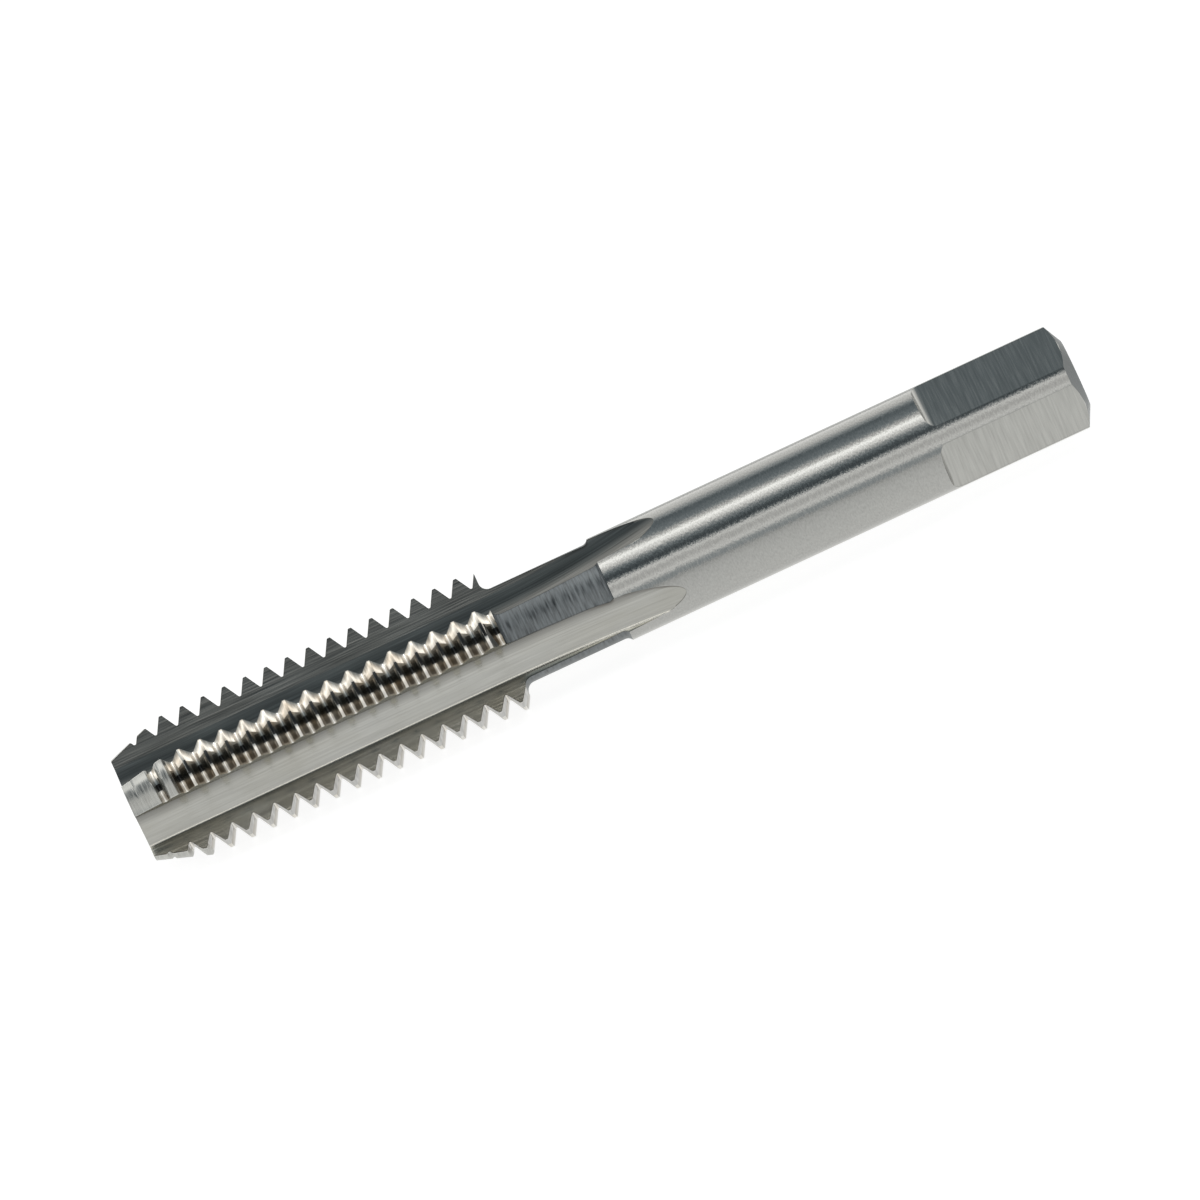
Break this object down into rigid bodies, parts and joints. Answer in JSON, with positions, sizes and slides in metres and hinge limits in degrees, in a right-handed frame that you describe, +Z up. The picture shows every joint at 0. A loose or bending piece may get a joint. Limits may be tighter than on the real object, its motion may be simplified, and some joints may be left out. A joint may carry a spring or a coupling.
{
  "type": "thread tap",
  "caption": "Straight-flute hand tap with a short tapered lead, a ground neck, a round shank and a square drive end, lying on its side.",
  "frame": {"origin": "under the middle of the tool's length, at the height of the surface that it lies on", "axes": "+X along the tool from the cutting tip to the driving square, +Z up from the surface it lies on, +Y sideways"},
  "size_m": [0.056, 0.007, 0.0071],
  "materials": {
    "tool_steel": "bright ground and polished high-speed steel"
  },
  "bodies": {
    "root": {"thread_tap": "tool_steel"}
  },
  "joints": []
}
